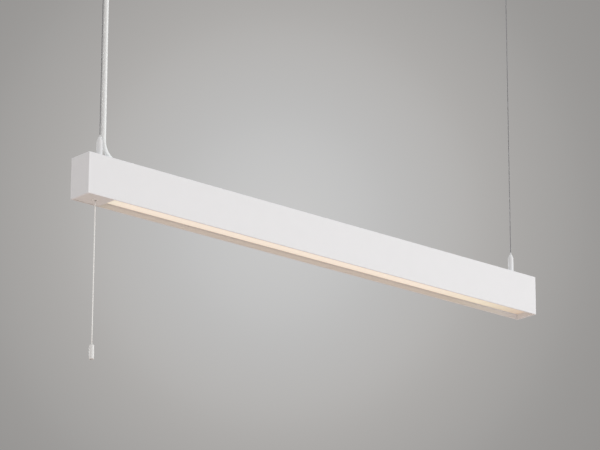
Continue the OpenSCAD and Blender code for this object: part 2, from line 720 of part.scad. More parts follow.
// Two strips through the base's wall, each with a contact that faces the rocker's tail
module switch_contacts() color(brass) on_rim(pull_x)
    for (k = [0, 1]) {
        strip_end = -drive_arm - tail_l + 2.2;
        translate([switch_x0 - tab_l, lever_y0, contact_h[k]])
            cube([strip_end - switch_x0 + tab_l, strip_w, strip_t]);
        translate([strip_end - 1.2, lever_y0 + lever_t / 2, contact_h[k] + (k == 0 ? strip_t : -0.9)])
            cylinder(r = 1.2, h = 0.9);
    }

module cord_ball() color("white") on_rim(pull_x, 0, ball_h) sphere(r = pull_ball_d / 2);

module pull_cord() color("white") on_rim(pull_x, 0, ball_h) tube_along(pull_route, pull_d / 2);

// A turned grip, bored for the cord and opened from below for its knot
module pull_grip() color(white) on_rim(pull_x, 0, -pull_l) rotate_extrude() {
    hole_r = pull_d / 2 + 0.15;
    r = grip_d / 2;
    polygon([
        [hole_r, 0], [r - 0.6, 0], [r, -0.6], [r, -grip_l + 0.6], [r - 0.6, -grip_l],
        [knot_hole_r, -grip_l], [knot_hole_r, -grip_wall], [hole_r, -grip_wall]
    ]);
}

module pull_knot() color("white") on_rim(pull_x, 0, ball_h + pull_end) difference() {
    sphere(r = knot_r);
    cylinder(r = pull_d / 2 + 0.02, h = knot_r + 1);
}

// ---------- wire grippers ----------

// A body with a pointed end; inside, a bore for the plunger over a clamping cone
module gripper_body() color(white) rotate_extrude() polygon([
    [stud_d / 2 + fit_gap, 0], [gripper_d / 2 - 0.3, 0], [gripper_d / 2, 0.3],
    [gripper_d / 2, gripper_h], [rod_bore_r + 0.6, neck_top], [rod_bore_r, neck_top],
    [rod_bore_r, jaw_top], [jaw_top_r, jaw_top], [jaw_low_r, jaw_low], [chamber_r, jaw_low],
    [chamber_r, stud_top + 1], [stud_d / 2 + fit_gap, stud_top + 1]
]);

// The sprung rod: its tip stands out of the body, its cage holds the balls
module gripper_plunger() color(pale) difference() {
    rotate_extrude() polygon([
        [wire_bore_r, flange_u], [flange_r, flange_u], [flange_r, flange_u + flange_t],
        [cage_r, flange_u + flange_t], [cage_r, cage_top], [rod_r, cage_top],
        [rod_r, neck_top + 0.4], [wire_bore_r + 0.3, gripper_total], [wire_bore_r, gripper_total]
    ]);
    for (k = [0 : 2])
        rotate([0, 0, 120 * k]) translate([0, 0, ball_u]) rotate([0, 90, 0])
            cylinder(r = ball_d / 2 + 0.06, h = cage_r + 1);
}

module gripper_balls() color(steel)
    for (k = [0 : 2])
        rotate([0, 0, 120 * k]) translate([ball_at, 0, ball_u]) sphere(r = ball_d / 2);

module gripper_spring() color(steel)
    tube_along(coil(4, catch_r, catch_wire, stud_top, flange_u), catch_wire / 2, 6, [0, 0, 1]);

// The stud that joins the gripper to the lamp's top, bored for the wire
module gripper_stud() color(steel) difference() {
    translate([0, 0, stud_low]) cylinder(r = stud_d / 2, h = stud_top - stud_low);
    translate([0, 0, stud_low - 1]) cylinder(r = wire_bore_r, h = stud_top - stud_low + 2);
}

module gripper_body_left() on_top(-wire_x) gripper_body();
module gripper_plunger_left() on_top(-wire_x) gripper_plunger();
module gripper_balls_left() on_top(-wire_x) gripper_balls();
module gripper_spring_left() on_top(-wire_x) gripper_spring();
module gripper_stud_left() on_top(-wire_x) gripper_stud();
module gripper_body_right() on_top(wire_x) gripper_body();
module gripper_plunger_right() on_top(wire_x) gripper_plunger();
module gripper_balls_right() on_top(wire_x) gripper_balls();
module gripper_spring_right() on_top(wire_x) gripper_spring();
module gripper_stud_right() on_top(wire_x) gripper_stud();

module gripper_washers() color(steel)
    for (x = [-wire_x, wire_x])
        on_top(x, 0, -top_t - washer_t) difference() {
            cylinder(r = stud_d, h = washer_t);
            translate([0, 0, -1]) cylinder(r = stud_d / 2 + seat_gap, h = washer_t + 2);
        }

module gripper_nuts() color(steel)
    for (x = [-wire_x, wire_x])
        on_top(x, 0, -top_t - washer_t - nut_h) difference() {
            cylinder(r = (stud_d + 5) / 2 / cos(30), h = nut_h, $fn = 6);
            translate([0, 0, -1]) cylinder(r = stud_d / 2 + fit_gap, h = nut_h + 2);
        }

module wire_left() color(steel) on_top(-wire_x) tube_along(wire_route, wire_d / 2);

module wire_right() color(steel) on_top(wire_x) tube_along(wire_route, wire_d / 2);

// The pressed balls on the wires' upper ends
module wire_nipples() color(brass)
    for (x = [-wire_x, wire_x])
        translate([x, 0, nipple_z]) difference() {
            sphere(r = nipple_d / 2);
            translate([0, 0, -nipple_d]) cylinder(r = wire_d / 2 + 0.02, h = 2 * nipple_d);
        }

// ---------- ceiling fittings ----------

// A flanged sleeve from z0 down to z1, screwed up through its closed top
module ceiling_base(z0, z1) difference() {
    union() {
        translate([0, 0, z0 - disc_t]) cylinder(r = disc_r, h = disc_t);
        translate([0, 0, z1]) cylinder(r = base_r, h = z0 - z1);
    }
    translate([0, 0, z1 - 1]) cylinder(r = thread_r, h = z0 - z1 - base_top_t + 1);
    translate([0, 0, z1]) cylinder(r = screw_hole_d / 2, h = z0 - z1 + 1);
}

module ceiling_base_left() color(white)
    translate([-wire_x, 0, 0]) ceiling_base(-bar_t, -canopy_h + canopy_t);

module ceiling_base_right() color(white) translate([wire_x, 0, 0]) ceiling_base(0, -canopy_h);

// A turned cap: a spigot for the base, and a seat in which the wire's ball can swivel
module wire_cap() difference() {
    seat_z = nipple_z - nipple_d / 2 - 0.25;
    union() {
        translate([0, 0, cap_low + 1]) cylinder(r = base_r, h = cap_head - 1);
        translate([0, 0, cap_low]) cylinder(r1 = base_r - 1, r2 = base_r, h = 1 + eps);
        translate([0, 0, -canopy_h - eps]) cylinder(r = thread_r - fit_gap, h = cap_spigot + eps);
    }
    rotate_extrude() polygon([
        [0, cap_low - 1], [cap_flare_r, cap_low - 1], [cap_flare_r, cap_low],
        [cap_neck_r, seat_z], [cap_bore_r, nipple_z], [cap_bore_r, 0], [0, 0]
    ]);
}

module wire_cap_left() color(white) translate([-wire_x, 0, 0]) wire_cap();

module wire_cap_right() color(white) translate([wire_x, 0, 0]) wire_cap();

// The canopy: a round cup over the bar and the cord's connection
module canopy() color(white) translate([-wire_x, 0, 0]) difference() {
    rotate_extrude() polygon([
        [0, -canopy_h], [canopy_d / 2 - 2, -canopy_h], [canopy_d / 2 - 0.6, -canopy_h + 0.6],
        [canopy_d / 2, -canopy_h + 2], [canopy_d / 2, 0], [canopy_d / 2 - canopy_t, 0],
        [canopy_d / 2 - canopy_t, -canopy_h + canopy_t], [0, -canopy_h + canopy_t]
    ]);
    translate([0, 0, -canopy_h - 1]) cylinder(r = thread_r + 0.1, h = canopy_t + 2);
    translate([cord_out[0], cord_y, -canopy_h - 1])
        cylinder(r = bush_neck_r + fit_gap, h = canopy_t + 2);
}

module canopy_bar() color(steel) translate([-wire_x, 0, -bar_t]) difference() {
    translate([-bar_l / 2, -bar_w / 2, 0]) cube([bar_l, bar_w, bar_t]);
    translate([0, 0, -1]) cylinder(r = screw_hole_d / 2, h = bar_t + 2);
}

// The bush that keeps the cord off the canopy's edge
module canopy_bush() color(white) translate([cord_x, cord_y, -canopy_h]) rotate_extrude() {
    lip = 0.35;
    polygon([
        [bush_bore_r, -bush_flange_t], [bush_neck_r + lip, -bush_flange_t],
        [bush_neck_r + lip + 0.3, -bush_flange_t + 0.4], [bush_neck_r + lip + 0.3, 0],
        [bush_neck_r, 0], [bush_neck_r, canopy_t], [bush_neck_r + lip, canopy_t],
        [bush_neck_r, canopy_t + 0.8], [bush_bore_r, canopy_t + 0.8]
    ]);
}

module canopy_terminal() color("white")
    translate([-wire_x - bar_l / 2 + 1, -bar_w / 2, -bar_t - 12]) difference() {
        cube([20, bar_w, 12]);
        for (k = [-1 : 1])
            translate([10, bar_w / 2 + 5.5 * k, -1]) cylinder(r = 1.8, h = 5);
    }

// Three cores from the cord's end past the base to the canopy's terminal block,
// each in its own lane and at its own height
module canopy_leads() color("sienna")
    for (k = [0 : 2])
        let (x = cord_x + three_leads(k)[0], y = cord_y + three_leads(k)[1],
             low = z_top + cord_top + 1.5, h = -bar_t - [6.5, 9.5, 3.6][k],
             lane = [2, 0, 1][k] * 2.7, end_x = -wire_x - bar_l / 2 + 21)
            tube_along([
                [x, y, low], [x, y, h - 4], [x - 1.5, y + 1, h - 1],
                [-wire_x + 4, 7.2 + lane, h], [-wire_x - 3, 7.2 + lane, h],
                [end_x + lead_d, 1.3 + lane, h], [end_x + fit_gap, 1.3 + lane, h]
            ], lead_d / 2, 8, [0.2, 0.3, 0.92]);

housing();
end_cap_left();
end_cap_right();
diffuser();
switch_plate();
gear_tray();
led_boards();
led_chips();
board_connectors();
led_driver();
driver_screws();
terminal_block();
mains_leads();
switch_leads();
driver_leads();
led_leads();
cord_inlet();
inlet_nut();
power_cord();
switch_base();
switch_cover();
cord_collar();
pull_slider();
return_spring();
contact_rocker();
rocker_pin();
switch_contacts();
cord_ball();
pull_cord();
pull_knot();
pull_grip();
gripper_body_left();
gripper_plunger_left();
gripper_balls_left();
gripper_spring_left();
gripper_stud_left();
gripper_body_right();
gripper_plunger_right();
gripper_balls_right();
gripper_spring_right();
gripper_stud_right();
gripper_washers();
gripper_nuts();
wire_left();
wire_right();
wire_nipples();
ceiling_base_left();
ceiling_base_right();
wire_cap_left();
wire_cap_right();
canopy();
canopy_bar();
canopy_bush();
canopy_terminal();
canopy_leads();
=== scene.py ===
# Linear pendant light with a pull-cord switch: cords, finishes, light and camera.
# Metres, in the part's own frame: X along the lamp, Y across it, Z up, the ceiling at Z = 0.
import json
import math
import bpy
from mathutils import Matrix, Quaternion, Vector


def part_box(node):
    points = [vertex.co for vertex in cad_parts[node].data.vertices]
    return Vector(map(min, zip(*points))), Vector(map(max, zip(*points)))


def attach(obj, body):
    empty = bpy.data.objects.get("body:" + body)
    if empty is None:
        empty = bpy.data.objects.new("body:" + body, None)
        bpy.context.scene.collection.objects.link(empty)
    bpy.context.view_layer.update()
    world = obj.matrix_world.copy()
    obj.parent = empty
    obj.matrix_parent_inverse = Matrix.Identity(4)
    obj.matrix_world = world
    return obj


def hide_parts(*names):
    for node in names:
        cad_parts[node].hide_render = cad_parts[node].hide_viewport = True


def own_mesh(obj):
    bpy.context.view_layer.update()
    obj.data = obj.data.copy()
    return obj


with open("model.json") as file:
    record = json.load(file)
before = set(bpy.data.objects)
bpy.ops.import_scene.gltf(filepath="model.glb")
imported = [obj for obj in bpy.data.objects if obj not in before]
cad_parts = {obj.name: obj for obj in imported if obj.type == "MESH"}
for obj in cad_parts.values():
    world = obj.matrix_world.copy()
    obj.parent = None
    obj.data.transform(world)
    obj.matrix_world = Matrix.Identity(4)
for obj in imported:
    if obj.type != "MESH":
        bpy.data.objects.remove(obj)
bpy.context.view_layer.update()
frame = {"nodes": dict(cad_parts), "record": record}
nodes = frame["nodes"]


def mm(*values):
    """Millimetres to a point or size in metres."""
    return [v / 1000 for v in values]


def srgb(r, g, b):
    """A colour as it shows on a screen, 0 to 255, to the linear colour that a shader takes."""
    def linear(v):
        v /= 255
        return v / 12.92 if v <= 0.04045 else ((v + 0.055) / 1.055) ** 2.4
    return (linear(r), linear(g), linear(b), 1.0)


# ---------- camera ----------

CAMERA_AT = Vector((-3.6311, -4.0890, -2.4447))
CAMERA_TURN = 41.295                   # degrees from +Y towards +X
CAMERA_RISE = 18.284                   # degrees above the horizon
CAMERA_ROLL = 0.18                     # degrees
FOCAL_SHARE = 5.285                    # focal length over the sensor's width
SENSOR = 36.0


def heading(turn, rise):
    """The direction that is turned from +Y towards +X and raised, both in degrees."""
    turn, rise = math.radians(turn), math.radians(rise)
    return Vector((
        math.sin(turn) * math.cos(rise), math.cos(turn) * math.cos(rise), math.sin(rise),
    ))


def make_camera():
    data = bpy.data.cameras.new("camera")
    data.sensor_width = SENSOR
    data.lens = FOCAL_SHARE * SENSOR
    data.clip_start = 0.1
    data.clip_end = 200
    camera = bpy.data.objects.new("camera", data)
    camera.location = CAMERA_AT
    camera.rotation_mode = "QUATERNION"
    aim = heading(CAMERA_TURN, CAMERA_RISE).to_track_quat("-Z", "Y")
    camera.rotation_quaternion = aim @ Quaternion((0, 0, 1), math.radians(CAMERA_ROLL))
    bpy.context.scene.collection.objects.link(camera)
    bpy.context.scene.camera = camera


make_camera()

# ---------- cords ----------

# Sizes and places, all in mm
DROP = 630                             # from the ceiling to the lamp's top
WIRE_X = 499                           # each wire's distance from the middle
PULL_X = -505.5                        # the pull cord's place along the lamp
CORD_D = 7.6                           # diameters
WIRE_D = 1.5
PULL_D = 2.0
BALL_Z = -701.8                        # the pull cord's upper ball
CAP_MOUTH_Z = -38                      # where a wire leaves its ceiling cap
COLLAR_Z = -705                        # where the pull cord leaves the lamp

# The construction's routes: the power cord's from the left wire's foot on the lamp's top,
# the wires' as heights over that top, the pull cord's as heights over its ball
CORD_ROUTE = [
    (60, 3, 5), (54, 3, 5), (48, 3, 5), (43, 3, 5), (38, 3, 5.5), (33, 3, 6.8),
    (28, 3, 9), (23.6, 3, 11.9), (19.6, 3, 15.6), (16.3, 3, 19.9), (13.8, 3, 24.8),
    (12.1, 3, 30.2), (11.2, 3, 36.5), (11, 3, 44), (11, 3, 54), (11, 3, 68),
    (11, 3.1, 86), (11, 3.2, 108), (11, 3.4, 132), (11, 3.5, 158), (11, 3.7, 186),
    (11, 3.9, 216), (11, 4, 246), (11, 4, 276), (11, 4, 306), (11, 4, 336),
    (11, 4, 366), (11, 4, 396), (11, 4, 426), (11, 4, 456), (11, 4, 486),
    (11, 4, 516), (11, 4, 608),
]
WIRE_HEIGHTS = [-22, 20, 60, 100, 140, 180, 220, 260, 300, 340, 380, 420, 460, 510, 598.8]
PULL_HEIGHTS = [
    -1.85, -18, -36, -54, -72, -90, -108, -126, -144, -162, -180, -198, -216, -234, -267.4,
]
CORD_STEPS = 4                         # rings of the power cord's tube for each of its points
CORD_SIDES = 16


def smooth(points, steps):
    """A smooth line through the points, with the given number of steps from each to the next."""
    gaps = [(b - a).length for a, b in zip(points, points[1:])]
    slopes = [(b - a) / gap for a, b, gap in zip(points, points[1:], gaps)]
    bends = zip(slopes, slopes[1:], gaps, gaps[1:])
    inner = [(p * h + q * g) / (g + h) for p, q, g, h in bends]
    tangents = [slopes[0], *inner, slopes[-1]]
    line = []
    for a, b, gap, start, end in zip(points, points[1:], gaps, tangents, tangents[1:]):
        for step in range(steps):
            t = step / steps
            rise = t * t * (3 - 2 * t)
            pull = start * (t * (1 - t) ** 2) - end * (t * t * (1 - t))
            line.append(a + (b - a) * rise + pull * gap)
    return [*line, points[-1]]


def tube(name, line, diameter, sides):
    """A round tube whose rings are centred on the line's points."""
    ahead = [b - a for a, b in zip(line, line[1:])]
    between = [p.normalized() + q.normalized() for p, q in zip(ahead, ahead[1:])]
    directions = [ahead[0], *between, ahead[-1]]
    side = directions[0].orthogonal()
    corners = []
    for centre, direction in zip(line, directions):
        direction = direction.normalized()
        side = (side - direction * side.dot(direction)).normalized()
        other = direction.cross(side)
        for k in range(sides):
            angle = 2 * math.pi * k / sides
            outward = side * math.cos(angle) + other * math.sin(angle)
            corners.append(centre + outward * diameter / 2)
    faces = []
    for ring in range(len(line) - 1):
        for k in range(sides):
            a, b = ring * sides + k, ring * sides + (k + 1) % sides
            faces.append((a, b, b + sides, a + sides))
    last = (len(line) - 1) * sides
    faces.append(tuple(reversed(range(sides))))
    faces.append(tuple(range(last, last + sides)))
    mesh = bpy.data.meshes.new(name)
    mesh.from_pydata(corners, [], faces)
    mesh.polygons.foreach_set("use_smooth", [True] * len(faces))
    piece = bpy.data.objects.new(name, mesh)
    bpy.context.scene.collection.objects.link(piece)
    return piece


def cord(name, node, body, slot, points, steps, diameter, exit, **facts):
    """A tube on the construction's route, in mm, that stands for one of its cords."""
    line = smooth([Vector(mm(*point)) for point in points], steps)
    piece = tube(name, line, diameter / 1000, CORD_SIDES)
    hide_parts(node)
    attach(piece, body)
    return piece


def power_cord():
    points = [(-WIRE_X + x, y, -DROP + z) for x, y, z in CORD_ROUTE]
    return cord("mains_cord", "power_cord", "lamp", "cord_jacket", points, CORD_STEPS, CORD_D,
                points[0], stiffness="medium", lay="hanging")


def suspension_wire(side, x):
    points = [(x, 0, -DROP + z) for z in reversed(WIRE_HEIGHTS)]
    return cord("steel_wire_" + side, "wire_" + side, "lamp", "wire_steel", points, 1, WIRE_D,
                (x, 0, CAP_MOUTH_Z), stiffness="stiff", lay="taut")


def switch_cord():
    points = [(PULL_X, 0, BALL_Z + z) for z in PULL_HEIGHTS]
    return cord("switch_cord", "pull_cord", "hanging_cord", "pull_cord_white", points, 1, PULL_D,
                (PULL_X, 0, COLLAR_Z), stiffness="limp", lay="hanging")


mains = power_cord()
wires = [suspension_wire("left", -WIRE_X), suspension_wire("right", WIRE_X)]
pull = switch_cord()

# ---------- springs ----------

# Each spring's joint, its turns and its wire's diameter in mm
SPRINGS = {
    "return_spring": ("switch_pull", 5, 0.6),
    "gripper_spring_left": ("release_left", 4, 0.5),
    "gripper_spring_right": ("release_right", 4, 0.5),
}
TURN_STEPS = 24                        # rings of a spring's tube for each turn
SPRING_SIDES = 10


def coil_spring(node, joint, turns, wire):
    """A coil in place of the node's."""
    wire /= 1000
    low, high = (Vector(corner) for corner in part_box(node))
    axis_x, axis_y = (low.x + high.x) / 2, (low.y + high.y) / 2
    radius = (high.x - low.x - wire) / 2
    start, climb = low.z + wire / 2, high.z - low.z - wire
    count = turns * TURN_STEPS
    line = []
    for i in range(count + 1):
        angle = 2 * math.pi * i / TURN_STEPS
        x, y = axis_x + radius * math.cos(angle), axis_y + radius * math.sin(angle)
        line.append(Vector((x, y, start + climb * i / count)))
    piece = tube("coil_" + node, line, wire, SPRING_SIDES)
    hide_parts(node)
    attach(piece, "lamp")
    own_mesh(piece)
    return piece


springs = [coil_spring(node, *facts) for node, facts in SPRINGS.items()]

# ---------- shader helpers ----------


def feed(tree, socket, value):
    """Links an output to the socket, or sets the socket to a plain value."""
    if isinstance(value, bpy.types.NodeSocket):
        tree.links.new(value, socket)
    else:
        socket.default_value = value


def math_node(tree, operation, *values):
    node = tree.nodes.new("ShaderNodeMath")
    node.operation = operation
    for socket, value in zip(node.inputs, values):
        feed(tree, socket, value)
    return node.outputs[0]


def map_range(tree, value, start, end, low=0.0, high=1.0, kind="LINEAR"):
    """Goes from low to high as the value goes from start to end, and stays there past them."""
    node = tree.nodes.new("ShaderNodeMapRange")
    node.interpolation_type = kind
    facts = {"Value": value, "From Min": start, "From Max": end, "To Min": low, "To Max": high}
    for socket, fact in facts.items():
        feed(tree, node.inputs[socket], fact)
    return node.outputs["Result"]


def mix_colours(tree, share, first, second, blend="MIX", clamp=True):
    node = tree.nodes.new("ShaderNodeMix")
    node.data_type = "RGBA"
    node.blend_type = blend
    node.clamp_factor = clamp
    factor, a, b = 0, 6, 7             # the sockets of a colour mix
    for socket, value in ((factor, share), (a, first), (b, second)):
        feed(tree, node.inputs[socket], value)
    return node.outputs[2]


def mix_shaders(tree, share, first, second):
    node = tree.nodes.new("ShaderNodeMixShader")
    for socket, value in zip(node.inputs, (share, first, second)):
        feed(tree, socket, value)
    return node.outputs[0]


def colour_ramp(tree, factor, stops, interpolation="LINEAR"):
    """The colour at the factor; stops are places from 0 to 1 and their colours."""
    node = tree.nodes.new("ShaderNodeValToRGB")
    node.color_ramp.interpolation = interpolation
    elements = node.color_ramp.elements
    elements.remove(elements[-1])
    for i, (place, colour) in enumerate(stops):
        element = elements[0] if i == 0 else elements.new(place)
        element.position = place
        element.color = [*colour[:3], 1.0]
    feed(tree, node.inputs["Fac"], factor)
    return node.outputs["Color"]


def of_kind(tree, *kinds):
    """1 for a ray of one of the kinds, else 0."""
    path = tree.nodes.new("ShaderNodeLightPath").outputs
    answer = path[kinds[0]]
    for kind in kinds[1:]:
        answer = math_node(tree, "MAXIMUM", answer, path[kind])
    return answer


class Finish:
    """A Principled material and the few node chains that the finishes share."""

    def __init__(self, name, colour, roughness, metallic=0.0, **sockets):
        self.material = bpy.data.materials.new(name)
        self.material.use_nodes = True
        self.tree = self.material.node_tree
        self.shader = self.tree.nodes["Principled BSDF"]
        self.colour = colour
        self.material.diffuse_color = colour
        self.shader.inputs["Base Color"].default_value = colour
        self.shader.inputs["Roughness"].default_value = roughness
        self.shader.inputs["Metallic"].default_value = metallic
        for socket, value in sockets.items():
            self.shader.inputs[socket.replace("_", " ")].default_value = value
        self.coordinates = self.tree.nodes.new("ShaderNodeTexCoord").outputs["Object"]

    def math(self, operation, *values):
        return math_node(self.tree, operation, *values)

    def noise(self, scale, detail=2.0, stretch=(1, 1, 1)):
        """Noise whose grains are about 1/scale metres, longer where stretch is under 1."""
        mapping = self.tree.nodes.new("ShaderNodeMapping")
        feed(self.tree, mapping.inputs["Scale"], stretch)
        feed(self.tree, mapping.inputs["Vector"], self.coordinates)
        node = self.tree.nodes.new("ShaderNodeTexNoise")
        feed(self.tree, node.inputs["Scale"], scale)
        feed(self.tree, node.inputs["Detail"], detail)
        feed(self.tree, node.inputs["Vector"], mapping.outputs["Vector"])
        return node.outputs["Fac"]

    def axes(self):
        node = self.tree.nodes.new("ShaderNodeSeparateXYZ")
        feed(self.tree, node.inputs["Vector"], self.coordinates)
        return node.outputs

    def helix(self, x, y, lay, strands, hand=1):
        """A wave from -1 to 1 that winds round a vertical axis at x, y, one turn in each lay."""
        at = self.axes()
        across, along = self.math("SUBTRACT", at["Y"], y), self.math("SUBTRACT", at["X"], x)
        angle = self.math("ARCTAN2", across, along)
        climb = self.math("MULTIPLY", at["Z"], hand * 2 * math.pi * strands / lay)
        return self.math("SINE", self.math("ADD", self.math("MULTIPLY", angle, strands), climb))

    def tint(self, factor, amount):
        """Varies the base colour by a share of itself, as the factor goes from 0 to 1."""
        dark, light = (
            [min(1.0, c * share) for c in self.colour[:3]] for share in (1 - amount, 1 + amount)
        )
        shade = colour_ramp(self.tree, factor, [(0, dark), (1, light)])
        feed(self.tree, self.shader.inputs["Base Color"], shade)
        return shade

    def wave_light_and_shade(self, wave, amount):
        """The same for a wave from -1 to 1: its crests are lighter, its valleys darker, a painted
        highlight on the crests and painted shade in the valleys.
        """
        self.tint(self.math("MULTIPLY_ADD", wave, 0.5, 0.5), amount)

    def relief(self, height, depth, strength=1.0):
        """Bump of the given depth in metres."""
        bump = self.tree.nodes.new("ShaderNodeBump")
        for socket, value in {"Distance": depth, "Strength": strength, "Height": height}.items():
            feed(self.tree, bump.inputs[socket], value)
        feed(self.tree, self.shader.inputs["Normal"], bump.outputs["Normal"])


POWDER_ROUGHNESS = 0.48


def powder(finish):
    """A faint mottle, whose colour it returns, and a fine orange peel."""
    finish.relief(finish.noise(1400, 1), 0.00003, 0.5)
    return finish.tint(finish.noise(35, 3), 0.012)


def powder_coat(name, colour, roughness=POWDER_ROUGHNESS):
    """Powder paint."""
    finish = Finish(name, colour, roughness)
    powder(finish)
    return finish.material


def moulded(name, colour, roughness=0.42):
    """Moulded plastic: an even colour with a fine spark-eroded grain."""
    finish = Finish(name, colour, roughness)
    finish.tint(finish.noise(60, 2), 0.015)
    finish.relief(finish.noise(3200, 2), 0.00002, 0.4)
    return finish.material


def brushed(name, colour, roughness=0.34, stretch=(0.03, 1, 1)):
    """Drawn or plated metal, its scratches running the way that stretch is small."""
    finish = Finish(name, colour, roughness, metallic=1.0)
    finish.tint(finish.noise(1500, 4, stretch), 0.10)
    finish.relief(finish.noise(2500, 3, stretch), 0.00002, 0.5)
    return finish.material


def threaded(name, colour, x, y, pitch):
    """Plated steel with a screw thread round the vertical axis at x, y."""
    finish = Finish(name, colour, 0.35, metallic=1.0)
    thread = finish.helix(x, y, pitch, 1)
    # Painted shade in the thread's grooves and a painted highlight on its crests, besides the
    # bump
    finish.wave_light_and_shade(thread, 0.15)
    finish.relief(thread, 0.0003)
    return finish.material


def jacket(name, colour, roughness=0.38):
    """A drawn PVC sheath: faint streaks along the cord."""
    finish = Finish(name, colour, roughness)
    finish.tint(finish.noise(500, 1, (1, 1, 0.02)), 0.01)
    finish.relief(finish.noise(900, 1, (1, 1, 0.05)), 0.000004, 0.3)
    return finish.material


def stranded(name, colour, x, y):
    """Six strands of bright wire, laid round the vertical axis at x, y."""
    finish = Finish(name, colour, 0.38, metallic=1.0)
    strands = finish.helix(x, y, STRAND_LAY, 6)
    # Painted shade between the strands and a painted highlight on them, besides the bump
    finish.wave_light_and_shade(strands, 0.30)
    finish.relief(strands, 0.0002)
    return finish.material


def braided(name, colour, x, y):
    """Two sets of yarns that cross round the vertical axis at x, y."""
    finish = Finish(name, colour, 0.8, Sheen_Weight=0.25)
    right, left = (finish.helix(x, y, YARN_LAY, 6, hand) for hand in (1, -1))
    yarns = finish.math("MULTIPLY", right, left)
    # Painted shade where the yarns dip and a painted highlight where they rise, besides the bump
    finish.wave_light_and_shade(yarns, 0.05)
    finish.relief(yarns, 0.00006, 0.6)
    return finish.material


def glowing(name, colour, glow):
    """The lit opal strip: glow lists its own light's colour by the place along the lamp."""
    finish = Finish(name, colour, 0.55)
    start, end = glow[0][0], glow[-1][0]
    place = finish.math("DIVIDE", finish.math("SUBTRACT", finish.axes()["X"], start), end - start)
    uneven = finish.math("SUBTRACT", finish.noise(9, 1), 0.5)
    drifted = finish.math("ADD", place, finish.math("MULTIPLY", uneven, GLOW_DRIFT))
    stops = [((x - start) / (end - start), tone) for x, tone in glow]
    light = colour_ramp(finish.tree, drifted, stops)
    feed(finish.tree, finish.shader.inputs["Emission Color"], light)
    feed(finish.tree, finish.shader.inputs["Emission Strength"], 1.0)
    finish.relief(finish.noise(2500, 2), 0.00002, 0.3)
    return finish.material


def profile_coat_with_painted_shade(name, colour, painted_shade):
    """The profile's paint, duller by the factors where it lines the open channel: painted shade,
    which fades towards the right-hand cap and turns to painted light there.
    """
    finish = Finish(name, colour, POWDER_ROUGHNESS)
    tree, at = finish.tree, finish.axes()
    # Painted shade in the open channel, turning to painted light at the right-hand cap
    within = finish.math("LESS_THAN", finish.math("ABSOLUTE", at["Y"]), CHANNEL_HALF)
    below = finish.math("LESS_THAN", at["Z"], CHANNEL_TOP)
    inner = finish.math("MULTIPLY", within, below)
    share = finish.math("MULTIPLY", inner, map_range(tree, at["X"], *PAINTED_SHADE_FADE, 1, PAINTED_LIGHT_END))
    shade = mix_colours(tree, share, powder(finish), (*painted_shade, 1), "MULTIPLY", clamp=False)
    feed(tree, finish.shader.inputs["Base Color"], shade)
    return finish.material


# ---------- finishes ----------

WHITE = srgb(230, 230, 232)
CHANNEL_HALF = 0.0235                  # half the open channel's width
CHANNEL_TOP = -0.690                   # above the diffuser's underside
CHANNEL_PAINTED_SHADE = (0.92, 0.885, 0.84)     # painted shade in the channel: what its paint keeps of red, green and blue
PAINTED_SHADE_FADE = (0.36, 0.50)               # where that painted shade fades, towards the right-hand cap
PAINTED_LIGHT_END = -0.45                       # its share at the end, where the paint is lighter instead: painted light
# The strip's own light, dimmer past its last LED at either end
GLOW = [
    (-0.480, (0.505, 0.485, 0.370)),
    (-0.430, (0.580, 0.502, 0.412)),
    (0.280, (0.592, 0.512, 0.420)),
    (0.420, (0.525, 0.462, 0.338)),
    (0.490, (0.405, 0.345, 0.238)),
    (0.530, (0.330, 0.245, 0.170)),
]
GLOW_DRIFT = 0.03                      # a slight unevenness in it, as a share of its length
STEEL = (0.56, 0.57, 0.58, 1)
WIRE_GREY = (0.44, 0.44, 0.46, 1)
BRASS = (0.62, 0.45, 0.20, 1)
STRAND_LAY = 0.011                     # height of one turn of the wires' strands
YARN_LAY = 0.009                       # and of the pull cord's yarns
THREAD_PITCH = 0.00125

